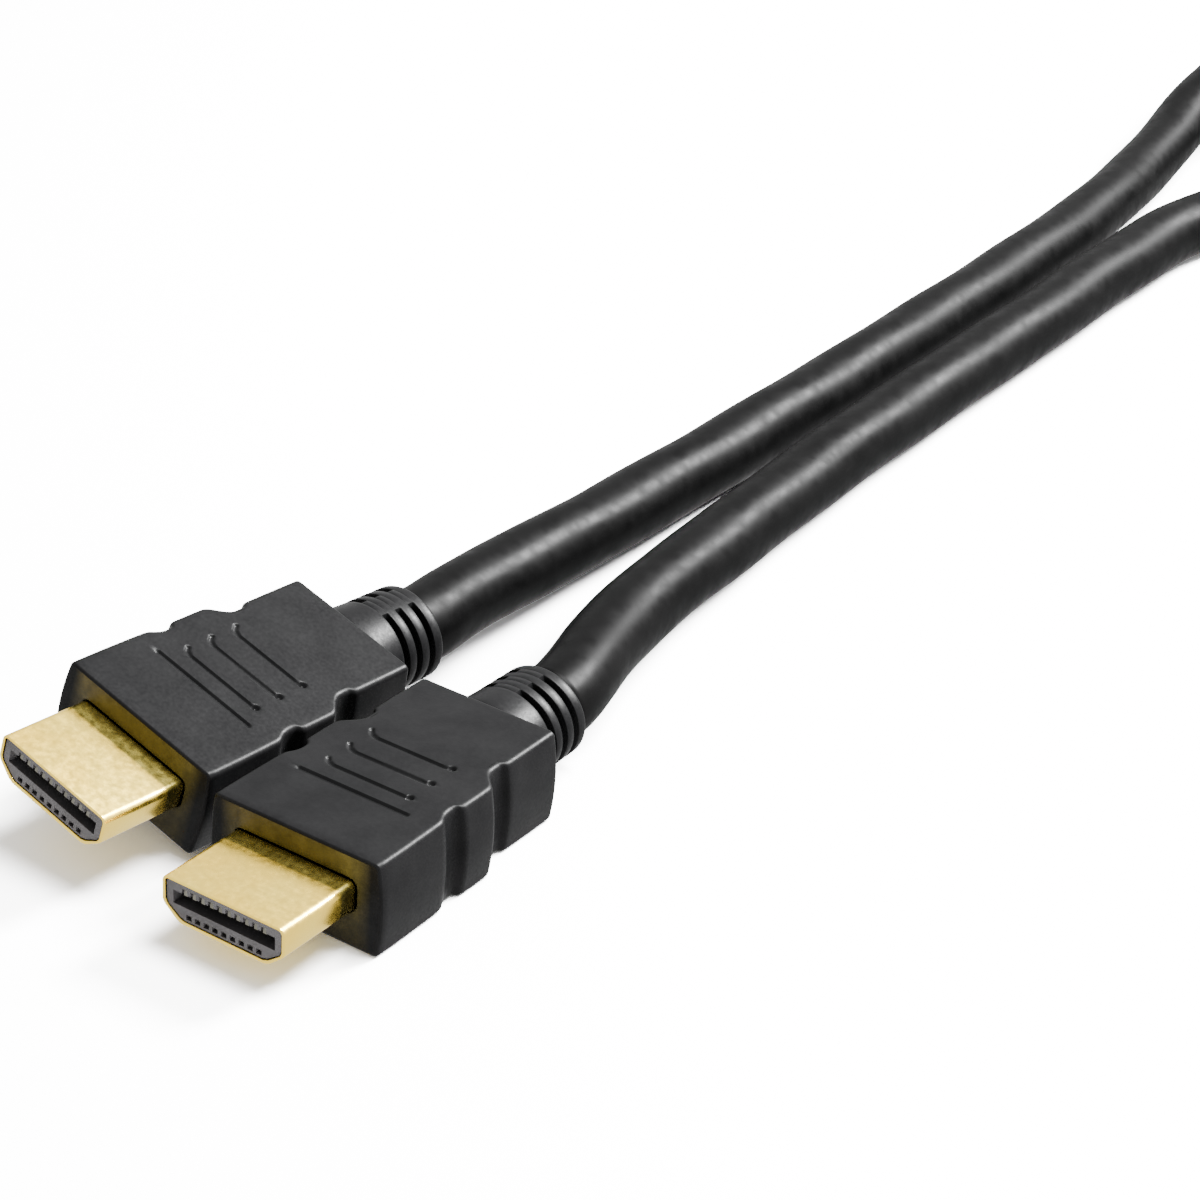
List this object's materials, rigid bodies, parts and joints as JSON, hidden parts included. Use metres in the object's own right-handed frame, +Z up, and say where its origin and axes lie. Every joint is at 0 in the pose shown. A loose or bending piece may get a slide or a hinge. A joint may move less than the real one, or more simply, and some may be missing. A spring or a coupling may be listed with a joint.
{
  "type": "hdmi cable",
  "caption": "Round flexible cable with a flat rectangular plug on each end; each plug has a D-shaped metal shell, a stepped moulded grip and a ribbed strain relief.",
  "frame": {"origin": "on the floor under the middle of plug 1's overmould", "axes": "+Z up; -Y is the way plug 1 is pushed into a socket; the cord leaves it towards +Y and plug 2 lies beside it towards -X"},
  "size_m": [0.0527, 0.3829, 0.0189],
  "materials": {
    "moulded_plastic": "satin black",
    "gold_plate": "polished gold plate",
    "insulator_plastic": "black",
    "contact_plate": "gold flash",
    "cord_jacket": "semi-gloss black PVC",
    "tie_strap": "black hook-and-loop strap"
  },
  "bodies": {
    "root": {"plug_1_overmould": "moulded_plastic", "plug_1_shell": "gold_plate", "plug_1_insulator": "insulator_plastic", "plug_1_contact_upper_1": "contact_plate", "plug_1_contact_upper_2": "contact_plate", "plug_1_contact_upper_3": "contact_plate", "plug_1_contact_upper_4": "contact_plate", "plug_1_contact_upper_5": "contact_plate", "plug_1_contact_upper_6": "contact_plate", "plug_1_contact_upper_7": "contact_plate", "plug_1_contact_upper_8": "contact_plate", "plug_1_contact_upper_9": "contact_plate", "plug_1_contact_upper_10": "contact_plate", "plug_1_contact_lower_1": "contact_plate", "plug_1_contact_lower_2": "contact_plate", "plug_1_contact_lower_3": "contact_plate", "plug_1_contact_lower_4": "contact_plate", "plug_1_contact_lower_5": "contact_plate", "plug_1_contact_lower_6": "contact_plate", "plug_1_contact_lower_7": "contact_plate", "plug_1_contact_lower_8": "contact_plate", "plug_1_contact_lower_9": "contact_plate", "plug_2_overmould": "moulded_plastic", "plug_2_shell": "gold_plate", "plug_2_insulator": "insulator_plastic", "plug_2_contact_upper_1": "contact_plate", "plug_2_contact_upper_2": "contact_plate", "plug_2_contact_upper_3": "contact_plate", "plug_2_contact_upper_4": "contact_plate", "plug_2_contact_upper_5": "contact_plate", "plug_2_contact_upper_6": "contact_plate", "plug_2_contact_upper_7": "contact_plate", "plug_2_contact_upper_8": "contact_plate", "plug_2_contact_upper_9": "contact_plate", "plug_2_contact_upper_10": "contact_plate", "plug_2_contact_lower_1": "contact_plate", "plug_2_contact_lower_2": "contact_plate", "plug_2_contact_lower_3": "contact_plate", "plug_2_contact_lower_4": "contact_plate", "plug_2_contact_lower_5": "contact_plate", "plug_2_contact_lower_6": "contact_plate", "plug_2_contact_lower_7": "contact_plate", "plug_2_contact_lower_8": "contact_plate", "plug_2_contact_lower_9": "contact_plate", "cord_run_1": "cord_jacket", "cord_run_2": "cord_jacket", "cord_hank": "cord_jacket", "cord_tie": "tie_strap"}
  },
  "joints": []
}
